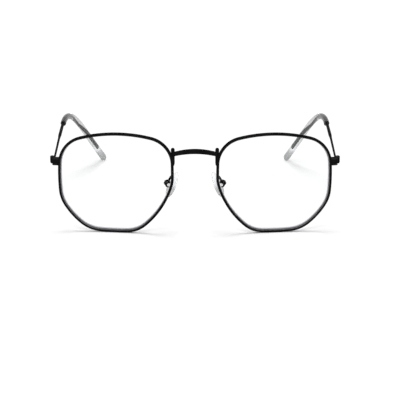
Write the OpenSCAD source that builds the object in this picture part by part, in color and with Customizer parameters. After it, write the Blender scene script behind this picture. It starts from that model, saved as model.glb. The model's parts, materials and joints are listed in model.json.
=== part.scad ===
// Wire-rimmed eyeglasses with six-sided rims, flat lenses, screw-in nose pads and folding temples.
// The front faces -Y, the temples run back along +Y, and the open frame stands on z = 0.
// Left and right are the wearer's: the left half is drawn at +X and the right half is its mirror image.

/* [Lenses] */
// Width of each lens opening
lens_w = 52.2; // [48:0.1:56]
// Height of each lens opening
lens_h = 46.9; // [43:0.1:50]
// Thickness of the lenses
lens_t = 1.8; // [1.4:0.1:2.2]
// Play between the lens and its rim
lens_play = 0.06; // [0.04:0.01:0.1]

/* [Rims] */
// Least distance between the two rims
rim_gap = 19.6; // [17:0.2:23]
// Width of the rim wire, seen from the front
rim_t = 1.1; // [1:0.05:1.4]
// Depth of the rim wire, front to back
rim_d = 1.8; // [1.6:0.05:2.2]
// Depth of the lens groove in the rim
groove_d = 0.45; // [0.35:0.05:0.55]
// Width of the lens groove at its mouth
groove_w = 1.2; // [1:0.05:1.4]
// Backward turn of each rim about its nose side
wrap_angle = 7; // [4:0.5:9]
// Forward lean of the front, top ahead of bottom
front_tilt = 4; // [2:0.5:6]
// Opening between the rim's two ends
rim_slit = 0.2; // [0.1:0.05:0.3]

/* [Bridge] */
// Drop of the bridge's middle below the lens openings' highest line
bridge_drop = 7.6; // [7:0.1:9]
// Rise of the bridge from its ends to its middle
bridge_rise = 1.3; // [0.4:0.1:2]
// Height of the bridge bar at its middle
bridge_mid_h = 2.5; // [2:0.1:2.8]
// Height of the bridge bar at its ends
bridge_end_h = 2.2; // [1.8:0.1:2.5]
// Depth of the bridge bar, front to back
bridge_d = 1.6; // [1.2:0.1:2]
// Diameter of the bridge posts
post_dia = 1.8; // [1.4:0.05:1.9]
// Drop of the posts' lower ends below the bridge's middle
post_drop = 6.8; // [6:0.1:8]
// Length of the posts
post_len = 8.6; // [8:0.1:9.5]

/* [Closing blocks and endpieces] */
// Drop of the rim's slit below the lens openings' highest line
slit_drop = 14.5; // [13:0.1:16.5]
// Width of the closing block, outwards from the rim
block_w = 2.8; // [2.4:0.1:3.4]
// Depth of the closing block behind the rim's front edge
block_d = 4; // [3.7:0.1:4.4]
// Height of the upper half of the block
upper_h = 1.5; // [1.3:0.05:1.9]
// Height of the lower half of the block
lower_h = 1.4; // [1.1:0.05:1.5]
// Opening between the halves
block_slit = 0.1; // [0.05:0.05:0.2]
// Width of the arm that joins the block to the hinge
arm_w = 1.1; // [0.9:0.1:1.4]

/* [Hinges] */
// Distance of the hinge axis outwards from the rim's outer edge
hinge_out = 3.2; // [3.2:0.1:4.2]
// Distance of the hinge axis behind the rim's middle
hinge_back = 6.7; // [6.5:0.1:8.5]
// Drop of the hinge's middle below the block's slit
hinge_drop = 0.3; // [0:0.1:0.8]
// Diameter of the hinge barrel
barrel_dia = 2; // [2:0.1:2.6]
// Height of the hinge barrel
barrel_h = 2.8; // [2.6:0.1:3.6]
// Height of the middle knuckle
knuckle_h = 1.3; // [1.25:0.05:1.4]
// Gap above and below the middle knuckle
knuckle_gap = 0.05; // [0.03:0.01:0.08]

/* [Screws] */
// Diameter of the hinge and closing screws
screw_dia = 0.9; // [0.8:0.05:1]
// Radial play of a turning piece on its screw
screw_play = 0.05; // [0.03:0.01:0.08]
// Diameter of the screw heads
head_dia = 1.5; // [1.3:0.05:1.7]
// Height of the screw heads
head_h = 0.3; // [0.25:0.05:0.4]
// Diameter of the nose pad screws
pad_screw_dia = 0.8; // [0.7:0.05:0.9]

/* [Temples] */
// Length of the temple's straight run behind the hinge
run_len = 51.5; // [44:0.5:60]
// Radius of the bend behind the ear
bend_r = 58.6; // [44:0.2:62]
// Angle of the bend
bend_angle = 45.4; // [40:0.2:50]
// Inward turn of the bend, from straight down
bend_roll = 18.4; // [12:0.1:22]
// Length of the straight drop below the bend
drop_len = 38.6; // [36:0.2:48]
// Inward turn of the open temples
toe_angle = 1.4; // [0:0.1:2]
// Diameter of the temple wire at the hinge
wire_dia = 1; // [0.85:0.05:1.1]
// Diameter of the temple wire where its sleeve starts
core_dia = 1.4; // [1.3:0.05:1.6]
// Height of the flattened wire below the bend
flat_h = 1.8; // [1.5:0.1:2.2]
// Thickness of the flattened wire at the end of the bend
flat_t = 0.7; // [0.5:0.05:1]
// Thickness of the flattened wire at its rear end
end_t = 1.3; // [1:0.05:1.6]
// Distance behind the hinge where the wire thickens
step_at = 29.5; // [20:0.5:32]
// Length of the wire's taper
step_len = 4; // [2:0.5:5]

/* [Temple tips] */
// Length of the sleeve's straight part ahead of the bend
sleeve_lead = 0.8; // [0.4:0.1:4]
// Height of the sleeve at its mouth
mouth_h = 2.8; // [2.7:0.1:3.6]
// Thickness of the sleeve at its mouth
mouth_t = 2.7; // [2.6:0.1:3.4]
// Height of the sleeve near its end
paddle_h = 4.3; // [3.8:0.1:5]
// Thickness of the sleeve near its end
paddle_t = 3.3; // [2.6:0.1:3.6]
// Play between the wire and the sleeve
sleeve_play = 0.03; // [0.02:0.01:0.06]
// Length of clear sleeve past the wire's end
clear_end = 12.5; // [8:0.5:16]

/* [Nose pads] */
// Distance of the pad screw from the middle plane
pad_x = 12.7; // [12.6:0.1:14.5]
// Distance of the pad screw behind the front
pad_y = 7.7; // [7:0.1:9]
// Height of the pad screw above the lens openings' lowest line
pad_z = 21.6; // [20:0.1:24]
// Lean of each pad's top towards the nose
pad_lean = 23.5; // [18:0.5:27]
// Outward turn of each pad's rear edge
pad_splay = 20; // [12:1:26]
// Length of the pads
pad_len = 13; // [11:0.5:15]
// Width of the pads
pad_w = 7.4; // [6.5:0.1:8.5]
// Thickness of the pads
pad_t = 1.8; // [1.6:0.1:2.2]
// Diameter of the pad boxes' cheeks
cheek_dia = 3.1; // [2.8:0.1:3.2]
// Thickness of the cheeks
cheek_t = 0.45; // [0.4:0.05:0.6]
// Thickness of the lug between the cheeks
lug_t = 1.2; // [1:0.1:1.5]
// Height of the lug
lug_h = 1.6; // [1.4:0.1:1.8]
// Diameter of the pad arm wire
arm_dia = 1.05; // [0.9:0.05:1.2]
// Height of the pad arm's root above the pad screw
arm_rise = 5.4; // [5:0.1:6.5]

/* [Hidden] */

// Colours
black = [0.09, 0.09, 0.095];
steel = [0.45, 0.45, 0.47];
clear = [0.86, 0.88, 0.9, 0.45];
sheet_clear = [0.88, 0.91, 0.93, 0.25];

// Smoothness of turned pieces
$fn = 32;

// Heights above the lens openings' lowest line
bridge_z = lens_h - bridge_drop;
post_low = bridge_z - post_drop;
slit_z = lens_h - slit_drop;

// Lens outline, drawn for a 52 by 46.5 opening and then stretched to the size set above.
// Corners run from the lower nose one along the bottom and on round.
corners = [[16.5, 0.5], [38, 0.5], [51.5, 15.5], [51, 41], [0.5, 42.5], [0, 25]];
// Outward bow of the side that leaves each corner
bows = [0.5, 1.5, 0.8, 4.9, 0.2, 2.7];
// Rounding radius of each corner
corner_r = [13, 15, 15, 13, 12, 13];
// Points along each side and each corner
arc_steps = 8;

// How far brazed pieces run into each other
braze = 0.4;
// Small height that keeps cutting shapes clear of the faces they cut
over = 0.5;
// Radial room round a fixed screw's shank and round a sunk head
screw_fit = 0.02;
head_fit = 0.03;
// Width of the slot in a screw's head
slot_w = 0.22;

function turn_x(p, a) = [p.x, p.y * cos(a) - p.z * sin(a), p.y * sin(a) + p.z * cos(a)];
function turn_y(p, a) = [p.x * cos(a) + p.z * sin(a), p.y, p.z * cos(a) - p.x * sin(a)];
function turn_z(p, a) = [p.x * cos(a) - p.y * sin(a), p.x * sin(a) + p.y * cos(a), p.z];
function heading(v) = atan2(v.y, v.x);
function column(points, i) = [for (p = points) p[i]];

// Circle of a side from a to b that bows out to its right: [centre, radius]
function bow_circle(a, b, bow) =
    let (chord = norm(b - a),
         r = (chord * chord / 4 + bow * bow) / (2 * bow),
         along = (b - a) / chord,
         out = [along.y, -along.x])
    [(a + b) / 2 - out * (r - bow), r];

// The meeting point of two circles that lies nearer to a given point
function circles_meet(c1, r1, c2, r2, near) =
    let (span = norm(c2 - c1),
         along = (c2 - c1) / span,
         reach = (r1 * r1 - r2 * r2 + span * span) / (2 * span),
         rise = sqrt(max(r1 * r1 - reach * reach, 0)),
         foot = c1 + along * reach,
         side = [-along.y, along.x] * rise)
    norm(foot + side - near) < norm(foot - side - near) ? foot + side : foot - side;

function arc_points(centre, r, from, to) =
    let (sweep = to < from ? to - from + 360 : to - from)
    [for (i = [0 : arc_steps - 1])
        let (a = from + sweep * i / arc_steps)
        centre + r * [cos(a), sin(a)]];

side_count = len(corners);
sides = [for (i = [0 : side_count - 1])
    bow_circle(corners[i], corners[(i + 1) % side_count], bows[i])];
rounds = [for (i = [0 : side_count - 1])
    let (a = sides[(i + side_count - 1) % side_count], b = sides[i])
    circles_meet(a[0], a[1] - corner_r[i], b[0], b[1] - corner_r[i], corners[i])];
drawn_line = [for (i = [0 : side_count - 1])
    let (a = sides[(i + side_count - 1) % side_count],
         b = sides[i],
         here = rounds[i],
         next = rounds[(i + 1) % side_count])
    for (p = concat(
        arc_points(here, corner_r[i], heading(here - a[0]), heading(here - b[0])),
        arc_points(b[0], b[1], heading(here - b[0]), heading(next - b[0])))) p];
line_low = [min(column(drawn_line, 0)), min(column(drawn_line, 1))];
line_high = [max(column(drawn_line, 0)), max(column(drawn_line, 1))];
// Lens opening, from [0, 0] to [lens_w, lens_h]
lens_line = [for (p = drawn_line)
    [(p.x - line_low.x) * lens_w / (line_high.x - line_low.x),
     (p.y - line_low.y) * lens_h / (line_high.y - line_low.y)]];
line_count = len(lens_line);

// Outward direction at each point of the lens opening
line_out = [for (i = [0 : line_count - 1])
    let (t = lens_line[(i + 1) % line_count] - lens_line[(i + line_count - 1) % line_count])
    [t.y, -t.x] / norm(t)];
function grown(by) = [for (i = [0 : line_count - 1]) lens_line[i] + by * line_out[i]];

// Where the lens opening's temple side stands at a height
function temple_side(z) =
    [for (i = [0 : line_count - 1])
        let (a = lens_line[i], b = lens_line[(i + 1) % line_count])
        if (a.y < z && b.y >= z && a.x > lens_w / 2) a.x + (b.x - a.x) * (z - a.y) / (b.y - a.y)][0];

// The rim's line as [point, outward direction], cut open at the slit
slit_x = temple_side(slit_z);
slit_first = [for (i = [0 : line_count - 1])
    if (lens_line[i].y < slit_z && lens_line[(i + 1) % line_count].y >= slit_z
        && lens_line[i].x > lens_w / 2) i][0];
// Least distance of the rim's next station from its cut end
station_gap = 0.5;
rim_stations = concat(
    [[[slit_x, slit_z + rim_slit / 2], [1, 0]]],
    [for (i = [1 : line_count])
        let (k = (slit_first + i) % line_count)
        if (norm(lens_line[k] - [slit_x, slit_z]) > station_gap) [lens_line[k], line_out[k]]],
    [[[slit_x, slit_z - rim_slit / 2], [1, 0]]]);

// Rim wire's section as [outwards from the opening, depth], from the groove's bottom round
section_steps = 8;
section_turn = 105;
rim_section = concat(
    [[groove_d, 0], [0, -groove_w / 2]],
    [for (i = [0 : section_steps])
        let (a = section_turn * (2 * i / section_steps - 1))
        [rim_t / 2 * (1 + cos(a)), rim_d / 2 * sin(a)]],
    [[0, groove_w / 2]]);

function ring_on(station, section) =
    [for (s = section)
        [station[0].x + s.x * station[1].x, s.y, station[0].y + s.x * station[1].y]];
rim_rings = [for (s = rim_stations) ring_on(s, rim_section)];

// From the left rim's own frame to the front's frame, and from there to the standing frame
function from_rim(p) = turn_z([p.x + rim_t, p.y, p.z], wrap_angle) + [rim_gap / 2, 0, 0];
function from_front(p) = turn_x(p, front_tilt) + [0, 0, front_lift];
front_lift = -min([for (ring = rim_rings) for (p = ring) turn_x(from_rim(p), front_tilt).z]);

// Closing block, in the rim's frame: its front face stands a little behind the rim's
block_x = slit_x + rim_t - braze;
block_set = 0.15;
block_front = block_set - rim_d / 2;
block_back = block_front + block_d;
// Wall between the closing screw's head and the block's back
head_wall = 0.5;
lock_x = slit_x + rim_t + block_w / 2;
lock_y = block_back - head_dia / 2 - head_wall;
// Cover above the closing screw's blind hole, and the room past the screw's end
lock_roof = 0.3;
lock_room = 0.1;
lock_top = slit_z + upper_h - lock_roof;
lock_seat = slit_z - lower_h + head_h;
// Plan of the block, with its outer corners rounded
block_round = 0.9;
round_steps = 4;
block_out = block_x + braze + block_w;
block_plan = concat(
    [[block_x, block_front], [block_x, block_back]],
    [for (i = [0 : round_steps]) let (a = 90 - 90 * i / round_steps)
        [block_out - block_round * (1 - cos(a)), block_back - block_round * (1 - sin(a))]],
    [for (i = [0 : round_steps]) let (a = -90 * i / round_steps)
        [block_out - block_round * (1 - cos(a)), block_front + block_round * (1 + sin(a))]]);

// Hinge, in the standing frame
rim_edge = from_front(from_rim([slit_x + rim_t, 0, slit_z]));
hinge_at = rim_edge + [hinge_out, hinge_back, -hinge_drop];
knuckle_low = knuckle_h / 2 + knuckle_gap;
// Distance of the temple wire inwards from the hinge axis, as a share of the barrel's radius
wire_share = 0.9;
wire_inset = wire_share * barrel_dia / 2;
// Reach of the fixed leaf inwards, outwards and forwards from the hinge axis
leaf_in = 0.55;
leaf_out = 0.6;
leaf_front = -2.6;
// Slot that the folding temple's wire sweeps through, and its room ahead of the wire
sweep_gap = 0.3;
slot_front = -(wire_inset + wire_dia / 2 + sweep_gap);

// Temple, in its own frame with the hinge axis at the origin
bend_dir = [-sin(bend_roll), 0, -cos(bend_roll)];
side_dir = cross([0, 1, 0], bend_dir);
bend_len = bend_r * bend_angle * PI / 180;
// Length of the rounded nose of the sleeve
nose_len = 1.95;
temple_len = run_len + bend_len + drop_len + nose_len;
wire_len = temple_len - clear_end;

// Bend angle reached at a distance along the wire
function bend_at(s) = bend_angle * min(max((s - run_len) / bend_len, 0), 1);
function along_dir(s) = [0, cos(bend_at(s)), 0] + sin(bend_at(s)) * bend_dir;
function inner_dir(s) = [0, -sin(bend_at(s)), 0] + cos(bend_at(s)) * bend_dir;
function wire_at(s) =
    let (a = bend_at(s),
         straight = min(s, run_len),
         rest = max(s - run_len - bend_len, 0))
    [-wire_inset, straight + bend_r * sin(a), 0] + bend_r * (1 - cos(a)) * bend_dir
    + rest * along_dir(s);
function temple_ring(s, half_h, half_t, count) =
    [for (i = [0 : count - 1])
        let (a = 360 * i / count)
        wire_at(s) + half_h * cos(a) * inner_dir(s) + half_t * sin(a) * side_dir];

bend_steps = 12;
bend_stations = [for (i = [0 : bend_steps]) run_len + bend_len * i / bend_steps];
// The wire starts a little behind the hinge axis, let into the knuckle's side
wire_start = 0.5;
wire_sides = 12;
// Shares of the bend where the wire stops being round and where it is flat
round_share = 0.6;
flat_share = 0.8;
function wire_half(s, flat, end) = lookup(s, [[step_at, wire_dia / 2], [step_at + step_len, core_dia / 2],
    [run_len + round_share * bend_len, core_dia / 2], [run_len + flat_share * bend_len, flat / 2],
    [wire_len, end / 2]]);
function wire_h(s) = wire_half(s, flat_h, flat_h);
function wire_t(s) = wire_half(s, flat_t, end_t);
wire_rings = [for (s = concat([wire_start, step_at, step_at + step_len], bend_stations, [wire_len]))
    temple_ring(s, wire_h(s), wire_t(s), wire_sides)];

// Sleeve: the channel from its closed end to the mouth, then the outside from the mouth to the nose
sleeve_sides = 16;
sleeve_at = run_len - sleeve_lead;
sleeve_end = temple_len - nose_len;
// Chamfer round the sleeve's mouth
mouth_round = 0.35;
function sleeve_h(s) = lookup(s, [[sleeve_at, mouth_h / 2], [sleeve_end, paddle_h / 2]]);
function sleeve_t(s) = lookup(s, [[sleeve_at, mouth_t / 2], [sleeve_end, paddle_t / 2]]);
// Room between the wire's end and the end of its channel
channel_room = 0.2;
channel_end = wire_len + channel_room;
channel_rings = [for (s = concat([channel_end], [for (i = [bend_steps : -1 : 0]) bend_stations[i]],
        [sleeve_at]))
    temple_ring(s, wire_h(s) + sleeve_play, wire_t(s) + sleeve_play, sleeve_sides)];
mouth_ring = temple_ring(sleeve_at, mouth_h / 2 - mouth_round, mouth_t / 2 - mouth_round, sleeve_sides);
outer_rings = [for (s = concat([sleeve_at + mouth_round], bend_stations, [sleeve_end]))
    temple_ring(s, sleeve_h(s), sleeve_t(s), sleeve_sides)];
nose_steps = 5;
// Angle from the sleeve's axis where its rounded nose is cut flat
nose_flat = 5;
nose_rings = [for (i = [1 : nose_steps])
    let (a = (90 - nose_flat) * i / nose_steps)
    temple_ring(sleeve_end + nose_len * sin(a), paddle_h / 2 * cos(a), paddle_t / 2 * cos(a),
        sleeve_sides)];
sleeve_rings = concat(channel_rings, [mouth_ring], outer_rings, nose_rings);

// Lean of the temple that sets the sleeve's nose down at z = 0
nose_centre = wire_at(sleeve_end);
nose_low = norm([paddle_h / 2 * inner_dir(sleeve_end).z, paddle_t / 2 * side_dir.z,
    nose_len * along_dir(sleeve_end).z]);
temple_slope = asin((hinge_at.z - nose_low) / norm([nose_centre.y, nose_centre.z]))
    - atan2(-nose_centre.z, nose_centre.y);
function from_temple(p) = turn_z(turn_x(p, -temple_slope), toe_angle) + hinge_at;

// Shift that puts the origin midway between the front and the temple ends
front_y = min([for (ring = rim_rings) for (p = ring) from_front(from_rim(p)).y]);
back_y = max([for (ring = nose_rings) for (p = ring) from_temple(p).y]);
back_shift = -(front_y + back_y) / 2;

// Bridge, in the front's frame
post_r = post_dia / 2;
// Distance of the posts inwards from the middle of the rim wire, and their sink into its back
post_tuck = 0.1;
post_sink = 0.12;
post_at = [rim_gap / 2 + rim_t / 2 - post_tuck, max(rim_d, lens_t) / 2 + post_r - post_sink, post_low];
bridge_steps = 16;
bridge_sides = 12;
bridge_half = post_at.x - post_r / 2;
bridge_rings = [for (i = [0 : bridge_steps])
    let (share = 2 * i / bridge_steps - 1,
         half_h = (bridge_end_h + (bridge_mid_h - bridge_end_h) * (1 - share * share)) / 2,
         lift = bridge_z - bridge_rise * share * share)
    [for (k = [0 : bridge_sides - 1])
        let (a = 360 * k / bridge_sides)
        [bridge_half * share, post_at.y + bridge_d / 2 * cos(a), lift + half_h * sin(a)]]];

// Nose pad, in a frame with the pad screw along y and the pad towards -x
function from_pad(p) = turn_y(turn_z(p, -pad_splay), -pad_lean) + [pad_x, pad_y, pad_z];
// Play of the lug between the cheeks, and its room behind at the web
lug_gap = 0.1;
web_gap = 0.15;
cheek_in = lug_t / 2 + lug_gap;
cheek_out = cheek_in + cheek_t;
web_in = lug_h / 2 + web_gap;
// Room between the cheeks and the pad's flat face
pad_room = 0.25;
pad_face = -(cheek_dia / 2 + pad_room);
pad_sides = 24;
// Share by which the pad narrows at its top and widens at its bottom
pad_taper = 0.12;
// Pad profile as [depth from the flat face as a share of the thickness, share of the full outline]
pad_profile = [[0, 0.82], [0.12, 0.95], [0.4, 1], [0.68, 0.94], [0.86, 0.78], [0.96, 0.52], [1, 0.2]];
pad_rings = [for (level = pad_profile)
    [for (i = [0 : pad_sides - 1])
        let (a = 360 * i / pad_sides)
        [pad_face - pad_t * level[0],
         pad_w / 2 * level[1] * cos(a) * (1 - pad_taper * sin(a)),
         pad_len / 2 * level[1] * sin(a)]]];
// Stiff plate inside the pad, and its depth as a share of the pad's thickness
core_plate = [0.5, 3.2, 6.4];
core_depth = 0.55;
core_x = pad_face - pad_t * core_depth;

// Pad arm: a curve from the rim's back to the top of the box's rear cheek
root_sink = 0.25;
foot_sink = 0.25;
// Distance of the arm's foot from the pad screw, towards the pad
foot_lean = 0.3;
// How far the arm leads back from the rim before it turns down, and up from the box
knee_lead = [0.2, 3.8, 0.2];
ankle_lead = 1.5;
// Share of the rim wire's width, from the lens opening, where the arm is brazed on
root_share = 0.45;
arm_root = [rim_gap / 2 + rim_t * root_share, rim_d / 2 - root_sink, pad_z + arm_rise];
arm_foot = from_pad([-foot_lean, cheek_in + cheek_t / 2, cheek_dia / 2 - foot_sink]);
arm_knee = arm_root + knee_lead;
arm_ankle = from_pad([-foot_lean, cheek_in + cheek_t / 2, cheek_dia / 2 + ankle_lead]);
arm_steps = 12;
arm_sides = 8;
function curve_at(t) =
    pow(1 - t, 3) * arm_root + 3 * t * pow(1 - t, 2) * arm_knee
    + 3 * t * t * (1 - t) * arm_ankle + pow(t, 3) * arm_foot;
function curve_dir(t) =
    let (d = pow(1 - t, 2) * (arm_knee - arm_root) + 2 * t * (1 - t) * (arm_ankle - arm_knee)
        + t * t * (arm_foot - arm_ankle))
    d / norm(d);
pad_arm_rings = [for (i = [0 : arm_steps])
    let (t = i / arm_steps,
         dir = curve_dir(t),
         flat_dir = cross(dir, [1, 0, 0]),
         across = flat_dir / norm(flat_dir),
         up = cross(across, dir))
    [for (k = [0 : arm_sides - 1])
        let (a = 360 * k / arm_sides)
        curve_at(t) + arm_dia / 2 * (cos(a) * across + sin(a) * up)]];

// Endpiece arm: a curve from the block's upper half to the hinge leaf, both seen from the hinge's middle
// Sink of the arm's root into the block and of its foot into the leaf
tongue_root_sink = 0.6;
tongue_foot_sink = 0.15;
tongue_root = from_front(from_rim(
    [block_out - arm_w / 2, block_back - tongue_root_sink, slit_z + upper_h / 2])) - hinge_at;
tongue_foot = [(leaf_out - leaf_in) / 2, leaf_front + tongue_foot_sink, 0];
tongue_steps = 8;
// The arm's root and foot are a little lower than the pieces they run into
tongue_root_h = upper_h - 0.2;
tongue_foot_h = barrel_h - 0.3;
// Section corners as shares of half the width and half the height
tongue_section = [[-1, -0.7], [-0.7, -1], [0.7, -1], [1, -0.7], [1, 0.7], [0.7, 1], [-0.7, 1], [-1, 0.7]];
// Share of the tongue that runs straight back before it turns down to the leaf
tongue_hold = 0.35;
tongue_rings = [for (i = [0 : tongue_steps])
    let (t = i / tongue_steps,
         turn = max(t - tongue_hold, 0) / (1 - tongue_hold),
         ease = turn * turn * (3 - 2 * turn),
         half_h = (tongue_root_h + (tongue_foot_h - tongue_root_h) * ease) / 2,
         at = [tongue_root.x + (tongue_foot.x - tongue_root.x) * ease,
               tongue_root.y + (tongue_foot.y - tongue_root.y) * t,
               tongue_root.z + (tongue_foot.z - tongue_root.z) * ease])
    [for (corner = tongue_section) at + [arm_w / 2 * corner.x, 0, half_h * corner.y]]];

// Solid over a list of rings, with flat ends, or joined end to end
module skin(rings, closed = false) {
    count = len(rings[0]);
    last = len(rings) - 1;
    function at(i, k) = (i % (last + 1)) * count + k % count;
    walls = [for (i = [0 : closed ? last : last - 1]) for (k = [0 : count - 1])
        for (face = [[at(i, k), at(i, k + 1), at(i + 1, k + 1)],
                     [at(i, k), at(i + 1, k + 1), at(i + 1, k)]]) face];
    ends = closed ? [] : [[for (k = [count - 1 : -1 : 0]) at(0, (k + 1) % count)],
                          [for (k = [0 : count - 1]) at(last, k)]];
    polyhedron(points = [for (ring = rings) for (p = ring) p], faces = concat(walls, ends),
        convexity = 10);
}

module mirrored(left) {
    if (left) {
        children();
    } else {
        mirror([1, 0, 0]) children();
    }
}

// Frames that the pieces are drawn in
module standing() translate([0, back_shift, 0]) children();
module in_front() standing() translate([0, 0, front_lift]) rotate([front_tilt, 0, 0]) children();
module at_rim() in_front() translate([rim_gap / 2, 0, 0]) rotate([0, 0, wrap_angle])
    translate([rim_t, 0, 0]) children();
module at_pad() in_front() translate([pad_x, pad_y, pad_z]) rotate([0, -pad_lean, 0])
    rotate([0, 0, -pad_splay]) children();
module at_temple() at_hinge() rotate([0, 0, toe_angle])
    rotate([-temple_slope, 0, 0]) children();
module at_hinge() standing() translate(hinge_at) children();

module upright(r, low, high) translate([0, 0, low]) cylinder(r = r, h = high - low);
module across(r, low, high) rotate([-90, 0, 0]) upright(r, low, high);

module rim() color(black) at_rim() skin(rim_rings);

// Edge bevel that sits in the groove, as [outwards from the opening, depth]
bevel_slope = groove_w / 2 / groove_d;
bevel_tip = groove_d - lens_play * norm([1, bevel_slope]) / bevel_slope;
bevel_root = -2 * lens_play;
bevel_hold = -0.45;
bevel_section = [[bevel_tip, 0], [bevel_root, -bevel_slope * (bevel_tip - bevel_root)],
    [bevel_hold, -groove_w / 4], [bevel_hold, groove_w / 4],
    [bevel_root, bevel_slope * (bevel_tip - bevel_root)]];
module lens() color(sheet_clear) at_rim() union() {
    rotate([90, 0, 0]) linear_extrude(lens_t, center = true) polygon(grown(-lens_play));
    skin([for (i = [0 : line_count - 1]) ring_on([lens_line[i], line_out[i]], bevel_section)],
        closed = true);
}

module bridge() color(black) in_front() skin(bridge_rings);

// Post with a rounded top and a short tapered foot
foot_len = 1.2;
foot_share = 0.75;
dome_steps = 6;
module bridge_post() color(black) in_front() translate(post_at) rotate_extrude()
    polygon(concat([[0, 0], [post_r * foot_share, 0], [post_r, foot_len]],
        [for (i = [0 : dome_steps - 1])
            let (a = 90 * i / dome_steps)
            [post_r * cos(a), post_len - post_r + post_r * sin(a)]],
        [[0, post_len]]));

module block(low, high) translate([0, 0, low]) linear_extrude(high - low) polygon(block_plan);

module endpiece() color(black) difference() {
    union() {
        at_rim() block(slit_z + block_slit / 2, slit_z + upper_h);
        at_hinge() skin(tongue_rings);
    }
    at_rim() translate([lock_x, lock_y, 0])
        upright(screw_dia / 2 + screw_fit, slit_z - over, lock_top);
}

module closing_block() color(black) at_rim() difference() {
    block(slit_z - lower_h, slit_z - block_slit / 2);
    translate([lock_x, lock_y, 0]) {
        upright(screw_dia / 2 + screw_fit, slit_z - lower_h - over, slit_z + over);
        upright(head_dia / 2 + head_fit, slit_z - lower_h - over, lock_seat);
    }
}

// Screw along z with its head up, drawn from the head's underside
module screw(dia, length) difference() {
    union() {
        upright(dia / 2, -length, 0);
        upright(head_dia / 2, 0, head_h);
    }
    translate([-head_dia, -slot_w / 2, head_h / 2]) cube([2 * head_dia, slot_w, head_h]);
}

module lock_screw() color(steel) at_rim() translate([lock_x, lock_y, lock_seat])
    rotate([180, 0, 0]) screw(screw_dia, lock_top - lock_room - lock_seat);

module hinge_front() color(black) at_hinge() difference() {
    union() {
        for (low = [-barrel_h / 2, knuckle_low]) {
            upright(barrel_dia / 2, low, low + barrel_h / 2 - knuckle_low);
            translate([-leaf_in, leaf_front, low])
                cube([leaf_in + leaf_out, -leaf_front, barrel_h / 2 - knuckle_low]);
        }
        translate([-leaf_in, leaf_front, -barrel_h / 2])
            cube([leaf_in + leaf_out, slot_front - leaf_front, barrel_h]);
    }
    upright(screw_dia / 2 + screw_play, -barrel_h, barrel_h);
}

module hinge_screw() color(steel) at_hinge() translate([0, 0, barrel_h / 2])
    screw(screw_dia, barrel_h);

module hinge_temple() color(black) at_hinge() difference() {
    upright(barrel_dia / 2, -knuckle_h / 2, knuckle_h / 2);
    upright(screw_dia / 2 + screw_play, -barrel_h, barrel_h);
}

module temple_wire() color(black) at_temple() skin(wire_rings);

module temple_tip() color(clear) at_temple() skin(sleeve_rings);

module pad_arm() color(black) in_front() skin(pad_arm_rings);

module pad_box() color(black) at_pad() difference() {
    union() {
        across(cheek_dia / 2, -cheek_out, -cheek_in);
        across(cheek_dia / 2, cheek_in, cheek_out);
        translate([web_in, -cheek_out, -lug_h / 2])
            cube([cheek_dia / 2 - web_in, 2 * cheek_out, lug_h]);
    }
    across(pad_screw_dia / 2 + screw_fit, -cheek_out - over, cheek_out + over);
}

module pad_screw() color(steel) at_pad() translate([0, -cheek_out, 0]) rotate([90, 0, 0])
    screw(pad_screw_dia, 2 * cheek_out);

module core_solid() difference() {
    union() {
        translate([core_x, 0, 0]) cube(core_plate, center = true);
        translate([core_x, -lug_t / 2, -lug_h / 2]) cube([-core_x, lug_t, lug_h]);
        across(lug_h / 2, -lug_t / 2, lug_t / 2);
    }
    across(pad_screw_dia / 2 + screw_play, -lug_t, lug_t);
}
module pad_core() color(clear) at_pad() core_solid();

module nose_pad() color(clear) at_pad() difference() {
    skin(pad_rings);
    translate([core_x, 0, 0]) cube(core_plate, center = true);
    translate([core_x, -lug_t / 2, -lug_h / 2]) cube([-core_x, lug_t, lug_h]);
}

echo(hinge_at = hinge_at + [0, back_shift, 0]);
echo(pad_at = from_front([pad_x, pad_y, pad_z]) + [0, back_shift, 0]);
echo(pad_axis = from_front(from_pad([0, 1, 0])) - from_front(from_pad([0, 0, 0])));
echo(lens_at = from_front(from_rim([lens_w / 2, -lens_t / 2, lens_h / 2])) + [0, back_shift, 0]);
echo(lens_normal = turn_x(turn_z([0, -1, 0], wrap_angle), front_tilt));
echo(tip_at = from_temple(wire_at(sleeve_end)) + [0, back_shift, 0]);
echo(tip_axis = turn_z(turn_x(along_dir(sleeve_end), -temple_slope), toe_angle));
echo(temple_slope = temple_slope, front_lift = front_lift, back_shift = back_shift);

mirrored(false) rim();  // rim_right
mirrored(true) rim();  // rim_left
mirrored(false) lens();  // lens_right
mirrored(true) lens();  // lens_left
bridge();
mirrored(false) bridge_post();  // bridge_post_right
mirrored(true) bridge_post();  // bridge_post_left
mirrored(false) endpiece();  // endpiece_right
mirrored(true) endpiece();  // endpiece_left
mirrored(false) closing_block();  // closing_block_right
mirrored(true) closing_block();  // closing_block_left
for (left = [false, true]) mirrored(left) lock_screw();  // lock_screws
mirrored(false) hinge_front();  // hinge_front_right
mirrored(true) hinge_front();  // hinge_front_left
for (left = [false, true]) mirrored(left) hinge_screw();  // hinge_screws
mirrored(false) pad_arm();  // pad_arm_right
mirrored(true) pad_arm();  // pad_arm_left
mirrored(false) pad_box();  // pad_box_right
mirrored(true) pad_box();  // pad_box_left
for (left = [false, true]) mirrored(left) pad_screw();  // pad_screws
mirrored(false) nose_pad();  // nose_pad_right
mirrored(true) nose_pad();  // nose_pad_left
mirrored(false) pad_core();  // pad_core_right
mirrored(true) pad_core();  // pad_core_left
mirrored(false) hinge_temple();  // hinge_temple_right
mirrored(true) hinge_temple();  // hinge_temple_left
mirrored(false) temple_wire();  // temple_wire_right
mirrored(true) temple_wire();  // temple_wire_left
mirrored(false) temple_tip();  // temple_tip_right
mirrored(true) temple_tip();  // temple_tip_left
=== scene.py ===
# Looks of the wire-rimmed eyeglasses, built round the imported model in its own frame, in metres.
import json
import math

import bmesh
import bpy
from mathutils import Matrix, Vector


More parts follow.
